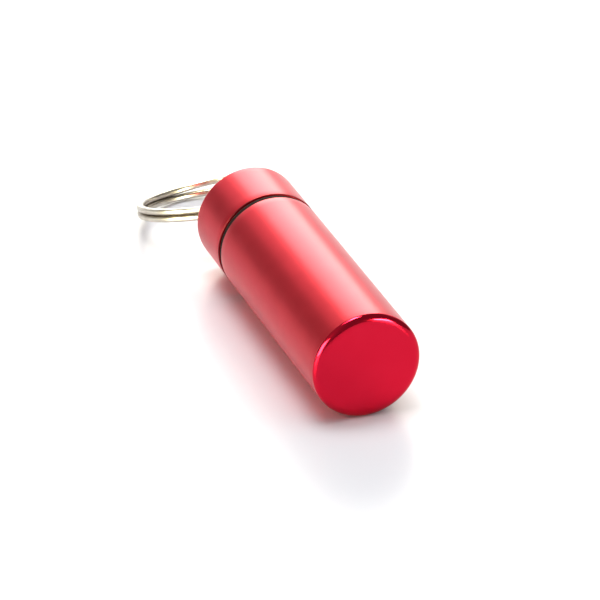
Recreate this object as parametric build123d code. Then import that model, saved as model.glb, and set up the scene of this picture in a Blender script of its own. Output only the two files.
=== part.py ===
"""Screw-top pill fob: a turned aluminium container with a sealed, threaded cap on a split key ring.

Lengths are in millimetres and angles in degrees. Each turned piece is made about +Z, with the container's
closed end at z = 0. The fob is then laid on its side, so that the barrel points along +Y and rests on z = 0.
"""

import math
import os

from build123d import *

# ---------------------------------------------------------------- driving dimensions: the barrel
BARREL_DIAMETER = 14.0
WALL_THICKNESS = 1.525  # down to the crest of the thread in the mouth
ROUND_WIDTH = 1.1  # bright-turned round on the two closed ends, across the face
ROUND_LENGTH = 0.7  # and along the barrel
RIM_BREAK = 0.08  # small edge break on each side of the seam

CONTAINER_LENGTH = 34.5  # closed end to mouth rim
BASE_THICKNESS = 1.6
BORE_CORNER_RADIUS = 0.8

CAP_LENGTH = 8.9  # shoulder to end face
CAP_END_THICKNESS = 2.2
STUB_LENGTH = 5.5  # shoulder to free end
STUB_WALL = 1.05  # under the root of the stub's thread
STUB_CHAMFER = 0.45

# ---------------------------------------------------------------- the thread, shared by mouth and stub
THREAD_PITCH = 1.0
THREAD_HALF_ANGLE = 30.0
DEPTH_PER_PITCH = 0.55
ROOT_FLAT_PER_PITCH = 0.16
OVERRUN_PER_PITCH = 0.1  # how far the thread cutter stands out of the metal
THREAD_CLEARANCE = 0.125  # radial, between a crest and the root it faces
THREAD_SPARE = 0.8  # mouth thread beyond the stub's free end
MOUTH_RELIEF_LENGTH = 1.2
MOUTH_COUNTERSINK = 0.35

# ---------------------------------------------------------------- the seal
SEAL_GAP = 1.0  # what is left of the seal's thickness between rim and shoulder
SEAL_SIDE_FLAT = 0.2  # straight part of its section between the rounded corners
SEAL_RECESS = 0.08  # how far it sits in from the barrel's surface
SEAL_CLEARANCE = 0.03  # over its seat on the stub
SEAT_DEPTH = 0.15  # below the root of the stub's thread
SEAT_OVERRUN = 0.4  # how far the seat runs past the seal

# ---------------------------------------------------------------- the split ring and its eye
RING_DIAMETER = 20.0  # outside
WIRE_WIDTH = 1.0  # across the coil
WIRE_THICKNESS = 0.88  # along the coil's axis
WIRE_FLAT = 0.2  # straight part of each side of the wire's section
COIL_GAP = 0.03
JOGGLE_ANGLE = 26.0  # where the wire steps from the lower turn to the upper one
END_GAP_ANGLE = 5.0
FREE_END_ANGLE = 50.0  # where the upper turn ends, from +X towards the ring's far side
FREE_END_LIFT = 0.6
LIFT_ANGLE = 55.0
SPAN_STEP = 6.0  # largest turn between two sections of a rising span
RING_YAW = 6.5  # how far the ring lies round to the side, towards -X

EYE_SLACK = 0.81  # eye diameter over the diagonal of the wire that passes through it
EYE_BREAK = 0.3
LUG_ROOT_WEB = 1.0  # metal between the eye and the cap's end face
LUG_END_WEB = 1.2  # metal between the eye and the lug's end
LUG_CHEEK = 1.6  # metal on each side of the eye
LUG_THICKNESS = 4.4  # across the two flats
LUG_END_RADIUS = 1.1

# ---------------------------------------------------------------- sizes that follow from them
BARREL_RADIUS = BARREL_DIAMETER / 2
THREAD_DEPTH = DEPTH_PER_PITCH * THREAD_PITCH
ROOT_FLAT = ROOT_FLAT_PER_PITCH * THREAD_PITCH
TOOL_OVERRUN = OVERRUN_PER_PITCH * THREAD_PITCH
CUTTER_DEPTH = THREAD_DEPTH + TOOL_OVERRUN
CUTTER_HALF_WIDTH = ROOT_FLAT / 2 + CUTTER_DEPTH * math.tan(math.radians(THREAD_HALF_ANGLE))

MOUTH_CREST_RADIUS = BARREL_RADIUS - WALL_THICKNESS
MOUTH_ROOT_RADIUS = MOUTH_CREST_RADIUS + THREAD_DEPTH
RELIEF_RADIUS = MOUTH_ROOT_RADIUS + THREAD_CLEARANCE / 2
FUNNEL_RADIUS = MOUTH_ROOT_RADIUS + THREAD_CLEARANCE
STUB_CREST_RADIUS = MOUTH_ROOT_RADIUS - THREAD_CLEARANCE
STUB_ROOT_RADIUS = MOUTH_CREST_RADIUS - THREAD_CLEARANCE
STUB_BORE_RADIUS = STUB_ROOT_RADIUS - STUB_WALL
SEAT_RADIUS = STUB_ROOT_RADIUS - SEAT_DEPTH
SEAL_INNER_RADIUS = SEAT_RADIUS + SEAL_CLEARANCE
SEAL_OUTER_RADIUS = BARREL_RADIUS - SEAL_RECESS

MOUTH_Z = CONTAINER_LENGTH
SHOULDER_Z = MOUTH_Z + SEAL_GAP
CAP_END_Z = SHOULDER_Z + CAP_LENGTH
STUB_END_Z = SHOULDER_Z - STUB_LENGTH
SEAT_END_Z = MOUTH_Z - SEAT_OVERRUN
MOUTH_RELIEF_END_Z = STUB_END_Z - THREAD_SPARE
MOUTH_THREAD_START_Z = MOUTH_RELIEF_END_Z - MOUTH_RELIEF_LENGTH / 2

RING_RADIUS = (RING_DIAMETER - WIRE_WIDTH) / 2  # centre of the wire
COIL_STEP = WIRE_THICKNESS + COIL_GAP
COIL_HEIGHT = COIL_STEP + WIRE_THICKNESS
# The wire curves as it passes the lug, so it sits off the eye's centre by half its rise there.
WIRE_RISE = RING_RADIUS - math.sqrt(RING_RADIUS**2 - (LUG_THICKNESS / 2) ** 2)
EYE_TO_RING = RING_RADIUS - WIRE_RISE / 2
EYE_DIAMETER = math.hypot(WIRE_WIDTH + WIRE_RISE, COIL_HEIGHT) + EYE_SLACK
EYE_RADIUS = EYE_DIAMETER / 2
EYE_Z = CAP_END_Z + LUG_ROOT_WEB + EYE_RADIUS
LUG_RADIUS = EYE_RADIUS + LUG_CHEEK
LUG_END_Z = EYE_Z + EYE_RADIUS + LUG_END_WEB

CLEAR = 1.0  # how far a cutting tool or a buried root runs past the face it crosses
SAME = 1e-4  # two lengths closer than this are the same


# ---------------------------------------------------------------- helpers
def turned(*points):
    """Solid of revolution about Z through (radius, height) points."""
    return revolve(make_face(Plane.XZ * Polyline(*points, close=True)), Axis.Z)


def end_round(face_height, inward):
    """Tool that leaves an end face its elliptical round. Inward is 1 with the metal above it, or -1."""
    corner = Pos(BARREL_RADIUS, face_height) * Rectangle(2 * ROUND_WIDTH, 2 * ROUND_LENGTH)
    middle = Pos(BARREL_RADIUS - ROUND_WIDTH, face_height + inward * ROUND_LENGTH)
    return revolve(Plane.XZ * (corner - middle * Ellipse(ROUND_WIDTH, ROUND_LENGTH)), Axis.Z)


def circles_at(shape, radius, height):
    """The full circles of one radius at one height."""
    return [
        edge
        for edge in shape.edges().filter_by(GeomType.CIRCLE)
        if abs(edge.radius - radius) < SAME and abs(edge.arc_center.Z - height) < SAME
    ]


def thread_turn(root_radius, outward, start_z, rise):
    """Helical cutter of a turn or less, with its flat tip at root_radius, pointing out of or into the axis."""
    side = -1 if outward else 1
    heel = side * CUTTER_DEPTH
    tip, base = side * ROOT_FLAT / 2, side * CUTTER_HALF_WIDTH
    path = Helix(THREAD_PITCH, rise, root_radius, center=(0, 0, start_z))
    section_plane = Plane(path @ 0, x_dir=(1, 0, 0), z_dir=path % 0)
    outline = Polyline((0, tip), (0, -tip), (heel, -base), (heel, base), close=True)
    return sweep(section_plane * make_face(outline), path=path, is_frenet=True)


def with_thread(blank, root_radius, outward, start_z, end_z):
    """The blank with its groove cut one turn at a time, which keeps every cut a simple one."""
    for turn in range(math.ceil((end_z - start_z - SAME) / THREAD_PITCH)):
        z = start_z + turn * THREAD_PITCH
        blank = blank - thread_turn(root_radius, outward, z, min(THREAD_PITCH, end_z - z))
    return blank


def stub_thread_start():
    """Height at which the stub's groove starts, below its free end and half a pitch off the mouth's."""
    free = STUB_END_Z - CUTTER_HALF_WIDTH
    turns = math.floor((free - MOUTH_THREAD_START_Z) / THREAD_PITCH - 0.5)
    return MOUTH_THREAD_START_Z + (turns + 0.5) * THREAD_PITCH


# ---------------------------------------------------------------- the container
def bore():
    """The pill chamber and the crest of the mouth thread, as one tool."""
    tool = turned(
        (0, BASE_THICKNESS),
        (MOUTH_CREST_RADIUS, BASE_THICKNESS),
        (MOUTH_CREST_RADIUS, MOUTH_Z + CLEAR),
        (0, MOUTH_Z + CLEAR),
    )
    return fillet(circles_at(tool, MOUTH_CREST_RADIUS, BASE_THICKNESS), BORE_CORNER_RADIUS)


def mouth_relief():
    """Groove in which the mouth thread runs out, with sloping sides."""
    slope = RELIEF_RADIUS - MOUTH_CREST_RADIUS
    start = MOUTH_RELIEF_END_Z - MOUTH_RELIEF_LENGTH
    return turned(
        (0, start - slope),
        (MOUTH_CREST_RADIUS, start - slope),
        (RELIEF_RADIUS, start),
        (RELIEF_RADIUS, MOUTH_RELIEF_END_Z),
        (MOUTH_CREST_RADIUS, MOUTH_RELIEF_END_Z + slope),
        (0, MOUTH_RELIEF_END_Z + slope),
    )


def mouth_funnel():
    """Countersink that leads the stub into the mouth."""
    neck = MOUTH_Z - MOUTH_COUNTERSINK
    slope = FUNNEL_RADIUS - MOUTH_CREST_RADIUS
    return turned(
        (0, neck - slope),
        (MOUTH_CREST_RADIUS, neck - slope),
        (FUNNEL_RADIUS, neck),
        (FUNNEL_RADIUS, MOUTH_Z + CLEAR),
        (0, MOUTH_Z + CLEAR),
    )


def container():
    """Blind tube with the thread cut in its mouth."""
    shell = turned((0, 0), (BARREL_RADIUS, 0), (BARREL_RADIUS, MOUTH_Z), (0, MOUTH_Z))
    shell = shell - bore() - mouth_relief() - mouth_funnel()
    shell = shell - end_round(0, 1)
    shell = fillet(circles_at(shell, BARREL_RADIUS, MOUTH_Z), RIM_BREAK)
    groove_end = MOUTH_Z + CUTTER_HALF_WIDTH + TOOL_OVERRUN
    return with_thread(shell, MOUTH_ROOT_RADIUS, True, MOUTH_THREAD_START_Z, groove_end)


# ---------------------------------------------------------------- the cap
def lug():
    """Eye for the key ring: a round boss with two milled flats and a cross hole."""
    height = LUG_END_Z - CAP_END_Z
    on_cap = (Align.CENTER, Align.CENTER, Align.MIN)
    root = Pos(0, 0, CAP_END_Z - CLEAR)
    boss = root * Cylinder(LUG_RADIUS, height + CLEAR, align=on_cap)
    boss = fillet(circles_at(boss, LUG_RADIUS, LUG_END_Z), LUG_END_RADIUS)
    boss = boss & root * Box(LUG_THICKNESS, 2 * LUG_RADIUS, height + 2 * CLEAR, align=on_cap)
    eye_line = Pos(0, 0, EYE_Z) * Rot(0, 90, 0)
    boss = boss - eye_line * Cylinder(EYE_RADIUS, LUG_THICKNESS + CLEAR)
    rims = [
        edge
        for edge in boss.edges().filter_by(GeomType.CIRCLE)
        if abs(edge.radius - EYE_RADIUS) < SAME
    ]
    return fillet(rims, EYE_BREAK)


def cap_blank():
    """Cap and solid stub before the thread is cut, with the seal's seat at the stub's root."""
    seat_slope = STUB_CREST_RADIUS - SEAT_RADIUS
    return turned(
        (0, STUB_END_Z),
        (STUB_CREST_RADIUS - STUB_CHAMFER, STUB_END_Z),
        (STUB_CREST_RADIUS, STUB_END_Z + STUB_CHAMFER),
        (STUB_CREST_RADIUS, SEAT_END_Z - seat_slope),
        (SEAT_RADIUS, SEAT_END_Z),
        (SEAT_RADIUS, SHOULDER_Z),
        (BARREL_RADIUS, SHOULDER_Z),
        (BARREL_RADIUS, CAP_END_Z),
        (0, CAP_END_Z),
    )


def cap():
    """Cap with a hollow threaded stub and the lug on its end."""
    hollow = turned(
        (0, STUB_END_Z - CLEAR),
        (STUB_BORE_RADIUS, STUB_END_Z - CLEAR),
        (STUB_BORE_RADIUS, CAP_END_Z - CAP_END_THICKNESS),
        (0, CAP_END_Z - CAP_END_THICKNESS),
    )
    body = cap_blank() - hollow
    body = body - end_round(CAP_END_Z, -1)
    body = fillet(circles_at(body, BARREL_RADIUS, SHOULDER_Z), RIM_BREAK)
    groove_end = SHOULDER_Z - CUTTER_HALF_WIDTH - TOOL_OVERRUN
    return with_thread(body, STUB_ROOT_RADIUS, False, stub_thread_start(), groove_end) + lug()


# ---------------------------------------------------------------- the seal
def seal():
    """Rubber ring as it is when the cap is tight, squeezed between the rim and the shoulder."""
    width = SEAL_OUTER_RADIUS - SEAL_INNER_RADIUS
    corner = (SEAL_GAP - SEAL_SIDE_FLAT) / 2
    middle = Pos(SEAL_INNER_RADIUS + width / 2, MOUTH_Z + SEAL_GAP / 2)
    return revolve(Plane.XZ * middle * RectangleRounded(width, SEAL_GAP, corner), Axis.Z)


# ---------------------------------------------------------------- the split ring
def wire_section(angle, height):
    """Cross-section of the ring's wire at an angle round the coil."""
    turn = math.radians(angle)
    outward = Vector(math.cos(turn), math.sin(turn), 0)
    middle = outward * RING_RADIUS + Vector(0, 0, height)
    plane = Plane(middle, x_dir=outward, z_dir=(-math.sin(turn), math.cos(turn), 0))
    corner = (min(WIRE_WIDTH, WIRE_THICKNESS) - WIRE_FLAT) / 2
    return plane * RectangleRounded(WIRE_WIDTH, WIRE_THICKNESS, corner)


def level_span(start, turn, height):
    """Part of a turn at one height, running clockwise from start."""
    return revolve(wire_section(start, height), Axis.Z, revolution_arc=-turn)


def rising_span(start, turn, low, high):
    """Part of a turn that rises in a smooth step, running clockwise from start."""
    count = math.ceil(turn / SPAN_STEP)
    shares = [i / count for i in range(count + 1)]
    rise = high - low
    return loft([wire_section(start - turn * t, low + rise * t * t * (3 - 2 * t)) for t in shares])


def split_ring():
    """Two turns of wire with a joggle between them, about the ring's own Z axis."""
    low, high = -COIL_STEP / 2, COIL_STEP / 2
    joggle_start = FREE_END_ANGLE - END_GAP_ANGLE
    lower_start = joggle_start - JOGGLE_ANGLE
    lower_turn = 360 - JOGGLE_ANGLE
    upper_turn = lower_turn - END_GAP_ANGLE - LIFT_ANGLE
    wire = level_span(lower_start, lower_turn, low)
    wire += rising_span(joggle_start, JOGGLE_ANGLE, low, high)
    wire += level_span(lower_start, upper_turn, high)
    return wire + rising_span(FREE_END_ANGLE + LIFT_ANGLE, LIFT_ANGLE, high, high + FREE_END_LIFT)


def ring_droop():
    """Angle below the barrel's axis at which the ring's far side touches the surface."""
    reach = EYE_TO_RING + RING_DIAMETER / 2
    half_coil = COIL_HEIGHT / 2
    to_surface = math.asin(BARREL_RADIUS / math.hypot(reach, half_coil))
    return math.degrees(to_surface - math.atan2(half_coil, reach))


# ---------------------------------------------------------------- the fob, laid on its side
lay_down = Rot(-90, 0, 0)
ring_place = Pos(0, EYE_Z, 0) * Rot(0, 0, RING_YAW) * Rot(-ring_droop(), 0, 0) * Pos(0, EYE_TO_RING, 0)

pieces = {
    "container": lay_down * container(),
    "seal": lay_down * seal(),
    "cap": lay_down * cap(),
    "split_ring": ring_place * split_ring(),
}

box = Compound(list(pieces.values())).bounding_box()
rest_place = Pos(-box.center().X, -box.center().Y, BARREL_RADIUS)

if __name__ == "__main__":
    os.makedirs("parts", exist_ok=True)
    for name, shape in pieces.items():
        placed = rest_place * shape
        export_step(placed, f"parts/{name}.step")
        size = placed.bounding_box().size
        print(f"{name}: {placed.volume:.1f} mm3, {size.X:.2f} x {size.Y:.2f} x {size.Z:.2f} mm")
    print(f"eye {EYE_DIAMETER:.2f}, ring droop {ring_droop():.2f}, placed by {tuple(rest_place.position)}")
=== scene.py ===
# %% [markdown]
# # Screw-top pill fob
# A turned aluminium tube, anodised red, with a threaded cap, a rubber seal and a split key ring.
# Each cell makes one piece or one finish, and says what that piece is on the real object.
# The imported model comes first, because every piece sits where it says.

# %% Load the frame
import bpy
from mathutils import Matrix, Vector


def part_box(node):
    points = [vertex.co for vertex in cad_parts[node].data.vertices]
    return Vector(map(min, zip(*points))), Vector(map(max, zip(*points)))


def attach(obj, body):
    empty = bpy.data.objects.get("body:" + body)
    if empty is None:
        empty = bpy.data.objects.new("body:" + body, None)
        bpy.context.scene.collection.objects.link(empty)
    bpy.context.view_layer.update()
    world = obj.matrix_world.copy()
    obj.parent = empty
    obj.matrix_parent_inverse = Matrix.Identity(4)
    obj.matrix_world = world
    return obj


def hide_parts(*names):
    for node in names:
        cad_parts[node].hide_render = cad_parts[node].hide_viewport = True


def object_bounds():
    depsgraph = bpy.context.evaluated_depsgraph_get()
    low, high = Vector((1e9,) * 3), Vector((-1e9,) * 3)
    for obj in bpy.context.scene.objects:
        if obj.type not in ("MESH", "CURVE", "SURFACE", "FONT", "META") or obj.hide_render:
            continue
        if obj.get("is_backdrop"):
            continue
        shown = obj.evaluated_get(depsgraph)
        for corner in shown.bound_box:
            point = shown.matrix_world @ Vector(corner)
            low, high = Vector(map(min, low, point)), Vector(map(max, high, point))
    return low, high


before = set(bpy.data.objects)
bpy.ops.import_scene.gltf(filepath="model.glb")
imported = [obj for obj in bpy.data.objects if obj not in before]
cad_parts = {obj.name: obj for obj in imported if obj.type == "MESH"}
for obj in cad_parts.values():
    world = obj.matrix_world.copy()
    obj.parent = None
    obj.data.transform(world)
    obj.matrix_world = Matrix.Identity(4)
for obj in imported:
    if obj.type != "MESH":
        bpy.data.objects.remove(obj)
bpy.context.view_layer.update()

# %% [markdown]
# Lengths below are in millimetres, because the parts are turned to millimetre sizes.
# Every barrel piece shares one axis. So each is built about its own local Z, from the closed end upwards,
# and one placement lays it down. A texture can then read radius and height straight from the object.

# %% Set the barrel's axis
import math

import bmesh
import bpy
from mathutils import Matrix, Vector

MM = 0.001
container_low, container_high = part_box("container")
axis_x = (container_low[0] + container_high[0]) / 2
axis_z = (container_low[2] + container_high[2]) / 2
closed_end = Vector((axis_x, container_low[1], axis_z))
lay_down = Matrix.Translation(closed_end) @ Matrix.Rotation(math.radians(-90), 4, "X")
print("barrel axis at x", round(axis_x / MM, 3), "mm and z", round(axis_z / MM, 3), "mm")

# %% [markdown]
# The barrel's sizes are the ones it was drawn to. The two end rounds are wide enough to catch the light,
# and the small breaks on each side of the seam keep it from looking like a pencil line.

# %% Set the barrel's sizes
BARREL_RADIUS = 7.0
ROUND_WIDTH = 1.1
ROUND_LENGTH = 0.7
RIM_BREAK = 0.08
MOUTH = 34.5
SHOULDER = 35.5
CAP_FACE = 44.4
STUB_END = 30.0
LUG_END = 49.6

# %% [markdown]
# A turned part is a profile spun about an axis, just as a lathe makes it. The helper takes rows along
# the profile and skins them with quads, so every edge round is real geometry with clean normals.
# A row's radius may be a function of the turn, which is how a screw thread or a milled flat gets in.

# %% Make a helper for turned parts
TURNS = 256


def spun_mesh(name, rows, closed=False):
    """Mesh through rows of (radius, height, finish). The finish is for the band up to the next row."""
    points, rings = [], []
    for radius, height, _ in rows:
        if radius == 0:
            rings.append([len(points)])
            points.append((0, 0, height * MM))
            continue
        ring = []
        for i in range(TURNS):
            turn = 2 * math.pi * i / TURNS
            r = radius(turn) if callable(radius) else radius
            ring.append(len(points))
            points.append((r * MM * math.cos(turn), r * MM * math.sin(turn), height * MM))
        rings.append(ring)
    faces, finishes = [], []
    bands = list(zip(rings, rings[1:])) + ([(rings[-1], rings[0])] if closed else [])
    for (low, high), (_, _, finish) in zip(bands, rows):
        for i in range(TURNS):
            j = (i + 1) % TURNS
            if len(low) == 1:
                faces.append((low[0], high[j], high[i]))
            elif len(high) == 1:
                faces.append((low[i], low[j], high[0]))
            else:
                faces.append((low[i], low[j], high[j], high[i]))
            finishes.append(finish)
    mesh = bpy.data.meshes.new(name)
    mesh.from_pydata(points, [], faces)
    mesh.polygons.foreach_set("material_index", finishes)
    return mesh


# %% [markdown]
# Faces have to point outwards for the light to fall right, and only true corners should look sharp.
# Smooth shading with a sharp limit of 30 degrees keeps the rounds soft and the rims crisp.

# %% Make a helper that finishes a mesh and places it
def put_in_scene(mesh, place, body, slot, *nodes):
    """Object with outward faces and crisp corners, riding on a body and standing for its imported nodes."""
    tidy = bmesh.new()
    tidy.from_mesh(mesh)
    bmesh.ops.remove_doubles(tidy, verts=tidy.verts, dist=1e-7)
    bmesh.ops.recalc_face_normals(tidy, faces=tidy.faces)
    tidy.to_mesh(mesh)
    tidy.free()
    mesh.shade_smooth()
    mesh.set_sharp_from_angle(angle=math.radians(30))
    piece = bpy.data.objects.new(mesh.name, mesh)
    bpy.context.scene.collection.objects.link(piece)
    piece.matrix_world = place
    bpy.context.view_layer.update()
    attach(piece, body)
    if nodes:
        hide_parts(*nodes)
    print(piece.name, len(mesh.polygons), "faces")
    return piece


# %% [markdown]
# A profile is made of straight lengths and rounds. Both are given as rows, so a piece's whole outline
# can be read off from its closed end upwards.

# %% Make helpers for rounds and straight lengths
def round_rows(centre_radius, centre_height, size, start, end, steps, finish, length=None):
    """Rows along an arc of a profile. Angles are from the outward direction towards the cap."""
    rows = []
    for i in range(steps + 1):
        angle = math.radians(start + (end - start) * i / steps)
        rise = (length or size) * math.sin(angle)
        rows.append((centre_radius + size * math.cos(angle), centre_height + rise, finish))
    return rows


def side_rows(radius, low, high, step, finish):
    """Rows along a straight length of tube, close enough that its quads stay compact."""
    count = max(1, round(abs(high - low) / step))
    return [(radius, low + (high - low) * i / count, finish) for i in range(count + 1)]


# %% [markdown]
# The thread is a shallow 60 degree form at a 1 mm pitch. On the lathe a single point cuts it as the part
# turns. Here the same groove is a rule for the radius: how far a point is from the groove's middle says
# how deep the cut is there. The stub's groove runs half a pitch from the mouth's, so the two mesh.

# %% Write the thread's form
PITCH = 1.0
THREAD_DEPTH = 0.55
ROOT_HALF_FLAT = 0.08
FLANK = math.tan(math.radians(30))
MOUTH_CREST, MOUTH_ROOT, MOUTH_THREAD_START = 5.475, 6.025, 28.6
STUB_CREST, STUB_ROOT, STUB_THREAD_START = 5.9, 5.35, 29.1


def groove_depth(turn, height, start):
    """Depth of the groove at a turn and height, from nothing on the crest to the full depth at its root."""
    middle = start + PITCH * turn / (2 * math.pi)
    count = max(0, round((height - middle) / PITCH))
    away = abs(height - middle - count * PITCH) - ROOT_HALF_FLAT
    return min(THREAD_DEPTH, max(0.0, THREAD_DEPTH - away / FLANK))


# %% [markdown]
# ## Container
# A blind tube, turned and bored from bar. The outside is satin, the closed end and its round are bright
# turned, and the bore is left as bored. Three finishes on one mesh follow the real single piece.

# %% Draw the container's profile
SATIN, BRIGHT, BORED = 0, 1, 2
SIDE_STEP = 1.2
ROUND_STEPS, RIM_STEPS, CORNER_STEPS = 24, 5, 8
MOUTH_THREAD_ROWS = 99
FACE_RADII = (0, 0.6, 1.5, 2.7, 3.9, 5.0)
FLOOR_RING = 2.4
EDGE = BARREL_RADIUS - ROUND_WIDTH
BORE_FLOOR = 1.6
BORE_CORNER = 0.8
RELIEF_RADIUS, RELIEF_LOW, RELIEF_HIGH = 6.0875, 28.0, 29.2
FUNNEL_RADIUS, FUNNEL_NECK = 6.15, 34.15


def mouth_radius(height):
    """Radius of the mouth before the thread is cut."""
    if height >= FUNNEL_NECK:
        return FUNNEL_RADIUS
    slope = FUNNEL_RADIUS - (FUNNEL_NECK - height)
    relief = RELIEF_RADIUS - max(0, height - RELIEF_HIGH)
    return max(MOUTH_CREST, slope, relief)


def threaded_mouth(height):
    """Radius of the threaded mouth at one height, as a function of the turn."""
    blank = mouth_radius(height)
    return lambda turn: max(blank, MOUTH_CREST + groove_depth(turn, height, MOUTH_THREAD_START))


container_rows = [(r, 0, BRIGHT) for r in FACE_RADII]
end_round = round_rows(EDGE, ROUND_LENGTH, ROUND_WIDTH, -90, 0, ROUND_STEPS, BRIGHT, ROUND_LENGTH)
container_rows += end_round[:-1]
rim, rim_low = BARREL_RADIUS - RIM_BREAK, MOUTH - RIM_BREAK
container_rows += side_rows(BARREL_RADIUS, ROUND_LENGTH, rim_low, SIDE_STEP, SATIN)[:-1]
container_rows += round_rows(rim, rim_low, RIM_BREAK, 0, 90, RIM_STEPS, SATIN)
container_rows += [(FUNNEL_RADIUS, MOUTH, BORED)]
for i in range(MOUTH_THREAD_ROWS + 1):
    height = FUNNEL_NECK + (RELIEF_HIGH - FUNNEL_NECK) * i / MOUTH_THREAD_ROWS
    container_rows.append((threaded_mouth(height), height, BORED))
container_rows += [(RELIEF_RADIUS, RELIEF_HIGH, BORED), (RELIEF_RADIUS, RELIEF_LOW, BORED)]
bore_top = RELIEF_LOW - (RELIEF_RADIUS - MOUTH_CREST)
corner_top = BORE_FLOOR + BORE_CORNER
container_rows += side_rows(MOUTH_CREST, bore_top, corner_top, SIDE_STEP, BORED)[:-1]
corner = round_rows(MOUTH_CREST - BORE_CORNER, corner_top, BORE_CORNER, 0, -90, CORNER_STEPS, BORED)
container_rows += corner + [(FLOOR_RING, BORE_FLOOR, BORED), (0, BORE_FLOOR, BORED)]

container_mesh = spun_mesh("container_body", container_rows)
container_body = put_in_scene(
    container_mesh, lay_down, "container", "red_anodised_aluminium", "container"
)

# %% [markdown]
# ## Cap
# One turning again: a hollow threaded stub, a seat for the seal, the grip, and a lug for the key ring.
# The lug is a round boss with two flats milled on it. A flat is a straight line seen along the axis,
# so its radius at each turn is the flat's distance over the cosine. That keeps cap and lug one skin.

# %% Draw the cap's profile
STUB_BORE = 4.3
HOLLOW_END = 42.2
STUB_CHAMFER = 0.45
SEAT_RADIUS, SEAT_END = 5.2, 34.1
LUG_RADIUS, LUG_HALF_THICKNESS, LUG_ROUND = 3.1, 2.2, 1.1
LUG_STEPS = 12
STUB_THREAD_ROWS = 82
HOLLOW_RING, LUG_RING = 2.2, 1.0
LUG_SIDE_HEIGHTS = (45.0, 46.0, 46.9, 47.8)
FACE_SHARES = (0.25, 0.5, 0.75, 1.0)


def stub_radius(height):
    """Radius of the stub before its thread is cut."""
    chamfered = STUB_CREST - max(0, STUB_END + STUB_CHAMFER - height)
    seat_slope = SEAT_RADIUS + max(0, SEAT_END - height)
    return min(STUB_CREST, chamfered, seat_slope)


def threaded_stub(height):
    """Radius of the threaded stub at one height, as a function of the turn."""
    blank = stub_radius(height)
    return lambda turn: min(blank, STUB_CREST - groove_depth(turn, height, STUB_THREAD_START))


def flatted(radius):
    """Radius of the boss with its two milled flats, as a function of the turn."""
    return lambda turn: min(radius, LUG_HALF_THICKNESS / max(1e-6, abs(math.cos(turn))))


def eased(share):
    """Radius between the lug's outline and the edge of the end face, so that the face's quads fan out."""
    return lambda turn: (1 - share) * EDGE + share * flatted(LUG_RADIUS)(turn)


cap_rows = [(0, HOLLOW_END, BORED), (HOLLOW_RING, HOLLOW_END, BORED)]
cap_rows += side_rows(STUB_BORE, HOLLOW_END, STUB_END, SIDE_STEP, BORED)
for i in range(STUB_THREAD_ROWS + 1):
    height = STUB_END + (SEAT_END - STUB_END) * i / STUB_THREAD_ROWS
    cap_rows.append((threaded_stub(height), height, BORED))
cap_rows += [(SEAT_RADIUS, SHOULDER, BORED)]
grip_low, grip_high = SHOULDER + RIM_BREAK, CAP_FACE - ROUND_LENGTH
cap_rows += round_rows(rim, grip_low, RIM_BREAK, -90, 0, RIM_STEPS, SATIN)[:-1]
cap_rows += side_rows(BARREL_RADIUS, grip_low, grip_high, SIDE_STEP, SATIN)[:-1]
cap_rows += round_rows(EDGE, grip_high, ROUND_WIDTH, 0, 90, ROUND_STEPS, BRIGHT, ROUND_LENGTH)
cap_rows += [(eased(share), CAP_FACE, BRIGHT) for share in FACE_SHARES]
cap_rows += [(flatted(LUG_RADIUS), h, BRIGHT) for h in LUG_SIDE_HEIGHTS]
lug_round = round_rows(LUG_RADIUS - LUG_ROUND, LUG_END - LUG_ROUND, LUG_ROUND, 0, 90, LUG_STEPS, BRIGHT)
cap_rows += [(flatted(r), h, finish) for r, h, finish in lug_round]
cap_rows += [(LUG_RING, LUG_END, BRIGHT), (0, LUG_END, BRIGHT)]
cap_mesh = spun_mesh("cap_body", cap_rows)

# %% [markdown]
# The eye is drilled across the lug and its rims are eased so that they don't saw at the wire.
# The tool is itself a turned part, with flared ends the shape of the easing, taken away by a boolean.

# %% Drill the eye
EYE_HEIGHT = 46.9
EYE_RADIUS = 1.5
EYE_BREAK = 0.3
TOOL_REACH = 3.4


def drilled(mesh, tool_mesh, tool_place):
    """The mesh with the tool's shape taken out of it."""
    blank = bpy.data.objects.new("blank", mesh)
    tool = bpy.data.objects.new("tool", tool_mesh)
    tool.matrix_world = tool_place
    for thing in (blank, tool):
        bpy.context.scene.collection.objects.link(thing)
        fixing = bmesh.new()
        fixing.from_mesh(thing.data)
        bmesh.ops.recalc_face_normals(fixing, faces=fixing.faces)
        fixing.to_mesh(thing.data)
        fixing.free()
    cut = blank.modifiers.new("cut", "BOOLEAN")
    cut.operation = "DIFFERENCE"
    cut.solver = "EXACT"
    cut.object = tool
    bpy.context.view_layer.update()
    result = bpy.data.meshes.new_from_object(blank.evaluated_get(bpy.context.evaluated_depsgraph_get()))
    name = mesh.name
    for used in (mesh, tool_mesh):
        bpy.data.meshes.remove(used)
    result.name = name
    return result


flared = EYE_RADIUS + EYE_BREAK
flare = round_rows(flared, LUG_HALF_THICKNESS - EYE_BREAK, EYE_BREAK, 180, 90, RIM_STEPS, BRIGHT)
half_tool = flare + [(flared, TOOL_REACH, BRIGHT), (0, TOOL_REACH, BRIGHT)]
tool_rows = [(r, -h, BRIGHT) for r, h, _ in reversed(half_tool)] + half_tool
across = Matrix.Translation((0, 0, EYE_HEIGHT * MM)) @ Matrix.Rotation(math.radians(90), 4, "Y")
cap_mesh = drilled(cap_mesh, spun_mesh("eye_tool", tool_rows), across)
cap_body = put_in_scene(cap_mesh, lay_down, "cap", "red_anodised_aluminium", "cap")

# %% [markdown]
# ## Seal
# A moulded rubber ring in the seam, squeezed between the rim and the shoulder. It is a rounded
# rectangle in section, with the fine witness line its mould leaves.

# %% Make the seal
SEAL_INNER, SEAL_OUTER = 5.23, 6.9
SEAL_CORNER = 0.4
WITNESS, WITNESS_HALF_WIDTH = 0.02, 0.04

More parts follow.
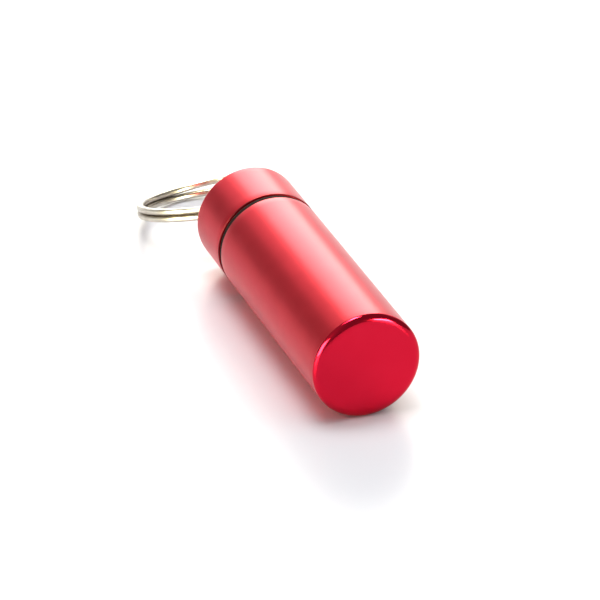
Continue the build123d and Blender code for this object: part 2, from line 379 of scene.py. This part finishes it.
low_corner, high_corner = MOUTH + SEAL_CORNER, SHOULDER - SEAL_CORNER
outer_corner, inner_corner = SEAL_OUTER - SEAL_CORNER, SEAL_INNER + SEAL_CORNER
seal_rows = round_rows(outer_corner, low_corner, SEAL_CORNER, -90, 0, CORNER_STEPS, 0)
middle = (MOUTH + SHOULDER) / 2
seal_rows += [(SEAL_OUTER, middle - WITNESS_HALF_WIDTH, 0), (SEAL_OUTER + WITNESS, middle, 0)]
seal_rows += [(SEAL_OUTER, middle + WITNESS_HALF_WIDTH, 0)]
seal_rows += round_rows(outer_corner, high_corner, SEAL_CORNER, 0, 90, CORNER_STEPS, 0)
seal_rows += round_rows(inner_corner, high_corner, SEAL_CORNER, 90, 180, RIM_STEPS, 0)
seal_rows += round_rows(inner_corner, low_corner, SEAL_CORNER, 180, 270, RIM_STEPS, 0)
seal_ring = put_in_scene(
    spun_mesh("seal_ring", seal_rows, closed=True), lay_down, "seal", "black_rubber", "seal"
)

# %% [markdown]
# ## Split ring
# Spring wire rolled flat-sided, wound two turns and plated. The lower turn steps up to the upper one
# at a joggle, and the free end stands proud so that a thumbnail can open it. A section is swept along
# that path, because the step, the lift and the cut ends are what make it read as a split ring.

# %% Write the wire's path and section
RING_RADIUS = 9.5
WIRE_WIDTH, WIRE_THICKNESS, WIRE_FLAT = 1.0, 0.88, 0.2
COIL_STEP = WIRE_THICKNESS + 0.03
JOGGLE, LIFT_SPAN, END_LIFT = 26.0, 55.0, 0.6
WIRE_START, WIRE_LENGTH = 19.0, 689.0
CORNER_POINTS = 6


def ease(share):
    """Smooth step from 0 to 1."""
    share = min(1.0, max(0.0, share))
    return share * share * (3 - 2 * share)


def wire_height(gone):
    """Height of the wire's centre after a number of degrees round the coil."""
    joggle_rise = COIL_STEP * ease((gone - 360 + JOGGLE) / JOGGLE)
    free_rise = END_LIFT * ease((gone - WIRE_LENGTH + LIFT_SPAN) / LIFT_SPAN)
    return joggle_rise + free_rise - COIL_STEP / 2


def wire_section(shrink):
    """Outline of the wire as (outward, up) pairs, smaller by shrink all round."""
    corner = (WIRE_THICKNESS - WIRE_FLAT) / 2
    outline = []
    for quarter, (side_x, side_y) in enumerate(((1, 1), (-1, 1), (-1, -1), (1, -1))):
        for i in range(CORNER_POINTS + 1):
            angle = math.radians(90 * quarter + 90 / CORNER_POINTS * i)
            x = side_x * (WIRE_WIDTH / 2 - corner) + (corner - shrink) * math.cos(angle)
            y = side_y * (WIRE_THICKNESS / 2 - corner) + (corner - shrink) * math.sin(angle)
            outline.append((x, y))
    return outline


# %% [markdown]
# The wire's two ends are sheared and lightly chamfered. Each point also keeps its place on the wire, so
# that the plating's grain can follow the wire round the coil.

# %% Sweep the wire
WIRE_STEP = 1.5
END_CHAMFER = 0.14
chamfer_degrees = math.degrees(END_CHAMFER / RING_RADIUS)
stations = [(0.0, END_CHAMFER), (chamfer_degrees, 0.0)]
count = round((WIRE_LENGTH - 2 * chamfer_degrees) / WIRE_STEP)
for i in range(1, count):
    stations.append((chamfer_degrees + (WIRE_LENGTH - 2 * chamfer_degrees) * i / count, 0.0))
stations += [(WIRE_LENGTH - chamfer_degrees, 0.0), (WIRE_LENGTH, END_CHAMFER)]

points, rings, on_wire = [], [], []
for gone, shrink in stations:
    turn = math.radians(WIRE_START - gone)
    ring = []
    for out, up in wire_section(shrink):
        r = RING_RADIUS + out
        height = wire_height(gone) + up
        ring.append(len(points))
        points.append((r * MM * math.cos(turn), r * MM * math.sin(turn), height * MM))
        on_wire.append((out, height, RING_RADIUS * math.radians(gone)))
    rings.append(ring)
faces = [tuple(rings[0]), tuple(reversed(rings[-1]))]
for low, high in zip(rings, rings[1:]):
    faces += [(low[i - 1], low[i], high[i], high[i - 1]) for i in range(len(low))]
wire_mesh = bpy.data.meshes.new("split_ring_wire")
wire_mesh.from_pydata(points, [], faces)
marks = wire_mesh.attributes.new("on_wire", "FLOAT_VECTOR", "POINT")
marks.data.foreach_set("vector", [value for mark in on_wire for value in mark])

# %% [markdown]
# The ring hangs from the eye and its far side rests on the table, so its plane droops from the eye.
# It lies a few degrees round to one side, as a ring does when a fob is set down.

# %% Place the ring
RING_YAW = 6.5
wire_rise = RING_RADIUS - math.sqrt(RING_RADIUS**2 - LUG_HALF_THICKNESS**2)
eye_to_ring = RING_RADIUS - wire_rise / 2
reach = eye_to_ring + RING_RADIUS + WIRE_WIDTH / 2
half_coil = (COIL_STEP + WIRE_THICKNESS) / 2
droop = math.asin(BARREL_RADIUS / math.hypot(reach, half_coil)) - math.atan2(half_coil, reach)
eye = closed_end + Vector((0, EYE_HEIGHT * MM, 0))
ring_place = (
    Matrix.Translation(eye)
    @ Matrix.Rotation(math.radians(RING_YAW), 4, "Z")
    @ Matrix.Rotation(-droop, 4, "X")
    @ Matrix.Translation((0, eye_to_ring * MM, 0))
)
wire_mesh.transform(ring_place)
split_ring_wire = put_in_scene(wire_mesh, Matrix(), "split_ring", "nickel_plated_steel", "split_ring")
print("ring droops", round(math.degrees(droop), 2), "degrees")

# %% [markdown]
# ## Finishes
# A finish is more than a colour: each has a grain at the size the real process leaves. A small helper
# makes nodes and links in one call, so each finish below reads as a list of what it does.

# %% Make helpers for materials
class Finish:
    """A material with helpers that add its nodes."""

    def __init__(self, name, **settings):
        self.material = bpy.data.materials.new(name)
        self.material.use_nodes = True
        self.tree = self.material.node_tree
        self.shader = self.tree.nodes["Principled BSDF"]
        for socket, value in settings.items():
            self.shader.inputs[socket.replace("_", " ")].default_value = value

    def node(self, kind, inputs=(), **settings):
        """A node with its settings made and its inputs, by name or number, set or linked."""
        made = self.tree.nodes.new("ShaderNode" + kind)
        for key, value in settings.items():
            setattr(made, key, value)
        for key, value in dict(inputs).items():
            if isinstance(value, bpy.types.NodeSocket):
                self.tree.links.new(value, made.inputs[key])
            else:
                made.inputs[key].default_value = value
        return made

    def maths(self, operation, a, b=0.0):
        return self.node("Math", {0: a, 1: b}, operation=operation).outputs[0]

    def remap(self, value, low, high, to_low, to_high):
        """Value from one range mapped to another, held at its ends."""
        inputs = {"Value": value, "From Min": low, "From Max": high, "To Min": to_low, "To Max": to_high}
        return self.node("MapRange", inputs).outputs["Result"]

    def blend(self, share, a, b):
        """Colour between a and b."""
        made = self.node("Mix", {"Factor": share}, data_type="RGBA")
        for socket, value in ((made.inputs[6], a), (made.inputs[7], b)):
            if isinstance(value, bpy.types.NodeSocket):
                self.tree.links.new(value, socket)
            else:
                socket.default_value = (*value, 1)
        return made.outputs[2]

    def use(self, socket, value):
        self.tree.links.new(value, self.shader.inputs[socket])


def place_on_part(finish):
    """Object coordinates in millimetres, with the radius and height of a turned part."""
    here = finish.node("TexCoord").outputs["Object"]
    scaled = finish.node("VectorMath", {0: here, "Scale": 1 / MM}, operation="SCALE").outputs[0]
    parts = finish.node("SeparateXYZ", {0: scaled}).outputs
    x_squared, y_squared = (finish.maths("POWER", parts[i], 2.0) for i in (0, 1))
    return scaled, finish.maths("SQRT", finish.maths("ADD", x_squared, y_squared)), parts[2]


def noise(finish, where, scale, detail=2.0, roughness=0.5):
    inputs = {"Vector": where, "Scale": scale, "Detail": detail, "Roughness": roughness}
    return finish.node("TexNoise", inputs).outputs["Fac"]


# %% [markdown]
# Painted shade darkens the satin at the two edges of the seam, between the rubber and the metal.
# Dust settles on any fob that has been handled. Each cell of a coarse pattern holds one speck at most and
# half of the cells have one, but most of those lie off the surface, so the few that show are scattered.

# %% Make a helper for dust
DUST = (0.95, 0.85, 0.82)
# Colour of the painted shade at the two edges of the seam.
SEAM_SHADE = (0.09, 0.012, 0.014)
SPECK_CELLS = 0.4
SPECK_CHANCE = 0.5
SPECK_SOLID, SPECK_EDGE = 0.025, 0.04
SPECK_COVER = 0.7


def specks(finish, where):
    """Mask of a few scattered specks, each at most a fifth of a millimetre across."""
    cells = finish.node("TexVoronoi", {"Vector": where, "Scale": SPECK_CELLS})
    chance = finish.node("SeparateXYZ", {0: cells.outputs["Color"]}).outputs[0]
    chosen = finish.maths("GREATER_THAN", chance, SPECK_CHANCE)
    dots = finish.remap(cells.outputs["Distance"], SPECK_SOLID, SPECK_EDGE, SPECK_COVER, 0)
    return finish.maths("MULTIPLY", dots, chosen)


# %% [markdown]
# ### Red anodising
# The dye sits in a clear oxide skin over bright metal, so the colour behaves like a tinted mirror: deep
# head on, paler where the light grazes. A metallic shader does that, and a thin clear coat over it stands
# for the sealed skin. The satin side has a fine blasted grain, and painted shade darkens it at the seam.

# %% Make the satin finish
RED = (0.54, 0.009, 0.024)
DEEP_RED = (0.51, 0.007, 0.021)
SEAM_SHADE_SOLID, SEAM_SHADE_END = 0.57, 0.66
SEAM_SHADE_COVER = 0.9

satin_coat = {"Coat_Weight": 0.1, "Coat_Roughness": 0.3, "Coat_IOR": 1.5}
satin = Finish("red_satin_anodising", Metallic=1.0, IOR=1.6, **satin_coat)
where, _, height = place_on_part(satin)
cloud = noise(satin, where, 0.35, 3.0)
dyed = satin.blend(satin.remap(cloud, 0.35, 0.65, 0, 1), RED, DEEP_RED)
# Painted shade: the satin darkens towards the two edges of the seam.
from_seam = satin.maths("ABSOLUTE", satin.maths("SUBTRACT", height, middle))
seam_shade = satin.remap(from_seam, SEAM_SHADE_SOLID, SEAM_SHADE_END, SEAM_SHADE_COVER, 0)
seam_shaded = satin.blend(seam_shade, dyed, SEAM_SHADE)
satin.use("Base Color", satin.blend(specks(satin, where), seam_shaded, DUST))
grain = noise(satin, where, 9.0, 4.0, 0.7)
satin.use("Roughness", satin.remap(grain, 0.3, 0.7, 0.29, 0.36))
satin_bump = satin.node("Bump", {"Height": grain, "Strength": 0.05, "Distance": 0.02 * MM})
satin.use("Normal", satin_bump.outputs[0])

# %% [markdown]
# The ends are turned bright, with faint rings that follow the tool, a little haze from handling and a few
# fine scratches.

# %% Make the bright turned finish
BRIGHT_RED = (0.64, 0.0060, 0.031)
BRIGHT_DEEP_RED = (0.63, 0.0050, 0.029)
SCRATCH_STRETCH = (3.0, 0.3, 0.0)
SCRATCH_START, SCRATCH_FULL = 0.77, 0.83
SCRATCH_COVER = 0.15
TURNING_PITCH = 0.09

bright_coat = {"Coat_Weight": 0.12, "Coat_Roughness": 0.1, "Coat_IOR": 1.5}
bright = Finish("red_bright_anodising", Metallic=1.0, IOR=1.6, **bright_coat)
where, radius, _ = place_on_part(bright)
cloud = noise(bright, where, 0.25, 2.0)
dyed = bright.blend(bright.remap(cloud, 0.35, 0.65, 0, 1), BRIGHT_RED, BRIGHT_DEEP_RED)
combed = bright.node("VectorMath", {0: where, 1: SCRATCH_STRETCH}, operation="MULTIPLY").outputs[0]
streaks = noise(bright, combed, 1.0, 2.0, 0.8)
scratches = bright.remap(streaks, SCRATCH_START, SCRATCH_FULL, 0, SCRATCH_COVER)
bright.use("Base Color", bright.blend(scratches, dyed, DUST))
haze = noise(bright, where, 3.0, 4.0, 0.6)
bright.use("Roughness", bright.remap(haze, 0.3, 0.7, 0.10, 0.13))
rings = bright.maths("SINE", bright.maths("MULTIPLY", radius, 2 * math.pi / TURNING_PITCH))
bright_bump = bright.node("Bump", {"Height": rings, "Strength": 0.02, "Distance": 0.002 * MM})
bright.use("Normal", bright_bump.outputs[0])

# %% [markdown]
# The bore is left as the boring tool leaves it: duller than the outside, with close circular lines.

# %% Make the bored finish
BORING_PITCH = 0.12

bored = Finish("red_bored_anodising", Metallic=1.0, Roughness=0.35, IOR=1.6)
where, _, height = place_on_part(bored)
cloud = noise(bored, where, 0.5, 3.0)
bored.use("Base Color", bored.blend(bored.remap(cloud, 0.3, 0.7, 0, 1), RED, DEEP_RED))
tool_lines = bored.maths("SINE", bored.maths("MULTIPLY", height, 2 * math.pi / BORING_PITCH))
bored_bump = bored.node("Bump", {"Height": tool_lines, "Strength": 0.2, "Distance": 0.004 * MM})
bored.use("Normal", bored_bump.outputs[0])

for piece in (container_body, cap_body):
    for finish in (satin, bright, bored):
        piece.data.materials.append(finish.material)
    indices = [face.material_index for face in piece.data.polygons]
    counts = [indices.count(i) for i in (SATIN, BRIGHT, BORED)]
    print(piece.name, "faces in satin, bright and bored:", counts)

# %% [markdown]
# ### Rubber
# Nitrile rubber is nearly black, and it scatters what little light reaches the seam. A dusting of
# paler bloom keeps it from looking like a hole.

# %% Make the rubber
BLACK = (0.022, 0.006, 0.006)
BLOOM = (0.045, 0.018, 0.016)

rubber = Finish("black_rubber", IOR=1.5, Specular_IOR_Level=0.06)
where, _, _ = place_on_part(rubber)
bloom = noise(rubber, where, 1.6, 4.0, 0.6)
rubber.use("Base Color", rubber.blend(rubber.remap(bloom, 0.45, 0.75, 0, 1), BLACK, BLOOM))
skin = noise(rubber, where, 14.0, 3.0)
rubber.use("Roughness", rubber.remap(skin, 0.3, 0.7, 0.62, 0.78))
rubber_bump = rubber.node("Bump", {"Height": skin, "Strength": 0.2, "Distance": 0.02 * MM})
rubber.use("Normal", rubber_bump.outputs[0])
seal_ring.data.materials.append(rubber.material)

# %% [markdown]
# ### Nickel plate
# The wire is drawn through a die before it is wound, so fine lines run along it, and barrel plating
# leaves it softly bright. The lines are noise stretched round the ring: fast across the wire and slow
# along it.

# %% Make the nickel
NICKEL = (0.66, 0.61, 0.54)
TARNISH = (0.52, 0.46, 0.39)
# Colour of the painted shade in the groove between the two coils.
GROOVE_SHADE = (0.20, 0.15, 0.10)
GROOVE_SHADE_SOLID, GROOVE_SHADE_END = 0.12, 0.42
GROOVE_SHADE_COVER = 0.75
DRAWN_STRETCH = (9.0, 9.0, 0.25)

nickel = Finish("nickel_plate", Metallic=1.0, IOR=1.9)
on_wire = nickel.node("Attribute", attribute_name="on_wire").outputs["Vector"]
height = nickel.node("SeparateXYZ", {0: on_wire}).outputs[1]
lengthwise = nickel.node("VectorMath", {0: on_wire, 1: DRAWN_STRETCH}, operation="MULTIPLY").outputs[0]
drawn = noise(nickel, lengthwise, 1.0, 3.0, 0.7)
tarnish = noise(nickel, on_wire, 0.7, 3.0)
plated = nickel.blend(nickel.remap(tarnish, 0.35, 0.7, 0, 1), NICKEL, TARNISH)
# Painted shade: the wire darkens near mid height, in the groove where the two coils meet.
groove_shade = nickel.remap(nickel.maths("ABSOLUTE", height), GROOVE_SHADE_SOLID, GROOVE_SHADE_END, GROOVE_SHADE_COVER, 0.0)
nickel.use("Base Color", nickel.blend(groove_shade, plated, GROOVE_SHADE))
nickel.use("Roughness", nickel.remap(drawn, 0.3, 0.7, 0.22, 0.34))
nickel_bump = nickel.node("Bump", {"Height": drawn, "Strength": 0.12, "Distance": 0.01 * MM})
nickel.use("Normal", nickel_bump.outputs[0])
split_ring_wire.data.materials.append(nickel.material)

# %% [markdown]
# ## Studio
# The fob lies on a sheet of white acrylic with a nearly matt face. It scatters almost all the light that
# reaches it, so what shows under the fob is mostly its shadow and the red light it throws.

# %% Lay the floor
HALF_FLOOR = 6.0
FLOOR_DROP = 0.02
corners = [(x * HALF_FLOOR, y * HALF_FLOOR, 0) for x, y in ((-1, -1), (1, -1), (1, 1), (-1, 1))]
floor_mesh = bpy.data.meshes.new("floor")
floor_mesh.from_pydata(corners, [], [(0, 1, 2, 3)])
floor = bpy.data.objects.new("floor", floor_mesh)
floor.location.z = -FLOOR_DROP * MM
bpy.context.scene.collection.objects.link(floor)
ACRYLIC = (0.73, 0.74, 0.77, 1)
acrylic = Finish("white_acrylic", Roughness=0.3, IOR=1.49, Specular_IOR_Level=0.1, Base_Color=ACRYLIC)
floor_mesh.materials.append(acrylic.material)
floor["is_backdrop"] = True

# %% [markdown]
# Polished metal shows the room more than itself, so the lights are placed by the direction they are
# seen in from the fob: a key and a wide wash behind it, a softbox overhead and a strip along one side.
# Three glints brighten the edges, and two fills soften the shadows. Some of these don't behave as real
# lamps do. The strip and the glints don't light matt surfaces, which would wash out the table, and the
# fills don't show in reflections, where they would add highlights that don't belong.

# %% Hang the softboxes
target = Vector((axis_x, 0, axis_z))


def softbox(
    name, azimuth, elevation, wide, tall, glow,
    tint=(1, 1, 1), distance=1.2, seen_from=target, glint=False,
):
    """Area light seen at an azimuth from +Y towards +X. Its sizes are angles, and glow is its brightness.

    A glint is a bright card that shows in polished edges only. It doesn't light matt surfaces or bounce.
    """
    a, e = math.radians(azimuth), math.radians(elevation)
    towards = Vector((math.sin(a) * math.cos(e), math.cos(a) * math.cos(e), math.sin(e)))
    lamp = bpy.data.lights.new(name, "AREA")
    lamp.shape = "RECTANGLE"
    lamp.size = 2 * distance * math.tan(math.radians(wide / 2))
    lamp.size_y = 2 * distance * math.tan(math.radians(tall / 2))
    lamp.energy = glow * math.pi * lamp.size * lamp.size_y
    lamp.color = tint
    box = bpy.data.objects.new(name, lamp)
    bpy.context.scene.collection.objects.link(box)
    box.location = seen_from + towards * distance
    box.rotation_mode = "QUATERNION"
    box.rotation_quaternion = towards.to_track_quat("Z", "Y")
    box.visible_camera = False
    if glint:
        box.visible_diffuse = False
        lamp.cycles.max_bounces = 0
    return box


WARM = (1.0, 0.96, 0.82)
CREAM = (1.0, 0.98, 0.62)
softbox("key_softbox", 17, 24, 31, 26, 8.2, WARM)
softbox("back_wash", 24, 22, 84, 42, 1.05)
softbox("top_softbox", -40, 80, 26, 26, 8.4)
softbox("top_glint", -15, 81, 15, 15, 55, CREAM, glint=True)
softbox("side_glint", -111, 14, 40, 22, 18, CREAM, distance=0.6, seen_from=closed_end, glint=True)
softbox("front_glint", 149, 7, 15, 10, 45, CREAM, seen_from=closed_end, glint=True)
side_strip = softbox("side_strip", -111, 14, 46, 26, 17, CREAM, distance=0.6, seen_from=closed_end)
side_strip.visible_diffuse = False
floor_fill = softbox("floor_fill", 70, 76, 30, 30, 3.0)
right_fill = softbox("right_fill", 112, 30, 25, 25, 2.8, distance=0.2, seen_from=closed_end)
for fill in (floor_fill, right_fill):
    fill.visible_glossy = False

# %% [markdown]
# The room is a plain grey, brighter on the left, so that the metal has something soft to mirror. The
# camera sees it as white, like a paper backdrop, which a real room with these reflections wouldn't be.

# %% Fill the room
LEFT, RIGHT = -0.6, -0.05
LEFT_GREY, RIGHT_GREY = 0.42, 0.26

world = bpy.data.worlds.new("room")
world.use_nodes = True
bpy.context.scene.world = world
sky = world.node_tree
direction = sky.nodes.new("ShaderNodeTexCoord").outputs["Generated"]
to_the_side = sky.nodes.new("ShaderNodeSeparateXYZ")
sky.links.new(direction, to_the_side.inputs[0])
falloff = sky.nodes.new("ShaderNodeMapRange")
sky.links.new(to_the_side.outputs[0], falloff.inputs["Value"])
gradient = {"From Min": LEFT, "From Max": RIGHT, "To Min": LEFT_GREY, "To Max": RIGHT_GREY}
for socket, value in gradient.items():
    falloff.inputs[socket].default_value = value
backdrop = sky.nodes.new("ShaderNodeMath")
backdrop.operation = "MAXIMUM"
sky.links.new(falloff.outputs["Result"], backdrop.inputs[0])
sky.links.new(sky.nodes.new("ShaderNodeLightPath").outputs["Is Camera Ray"], backdrop.inputs[1])
background = sky.nodes["Background"]
sky.links.new(backdrop.outputs[0], background.inputs["Strength"])
background.inputs["Color"].default_value = (1, 1, 1, 1)

# %% [markdown]
# ## Camera
# A long lens from low over the closed end keeps the barrel's sides nearly parallel, as a product
# picture does. The camera looks at a point a little past the middle of the barrel.

# %% Set up the camera
AZIMUTH, ELEVATION = -20.14, 27.72
LENS, SENSOR = 252.95, 36.0
CAMERA_DISTANCE = 534.6
LOOK_AT = 24.5
AIM_RIGHT, AIM_UP = 0.134, -2.518
a, e = math.radians(AZIMUTH), math.radians(ELEVATION)
back = Vector((math.sin(a) * math.cos(e), -math.cos(a) * math.cos(e), math.sin(e)))
right = Vector((math.cos(a), math.sin(a), 0))
up = back.cross(right)
lens = bpy.data.cameras.new("camera")
lens.lens, lens.sensor_width = LENS, SENSOR
lens.clip_start, lens.clip_end = 0.01, 50
camera = bpy.data.objects.new("camera", lens)
bpy.context.scene.collection.objects.link(camera)
aim = closed_end + Vector((0, LOOK_AT * MM, 0)) + right * (AIM_RIGHT * MM) + up * (AIM_UP * MM)
camera.location = aim + back * (CAMERA_DISTANCE * MM)
camera.rotation_mode = "QUATERNION"
camera.rotation_quaternion = Matrix((right, up, back)).transposed().to_quaternion()
bpy.context.scene.camera = camera

# %% [markdown]
# A film-like curve would mute the red, so colours are shown as the lights give them.

# %% Keep colours as the lights give them
bpy.context.scene.view_settings.view_transform = "Standard"
bpy.context.scene.view_settings.look = "None"

# %% [markdown]
# The finished pieces should fill the same box as the imported model, so the pieces' box is found.

# %% Find the pieces' box
low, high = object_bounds()
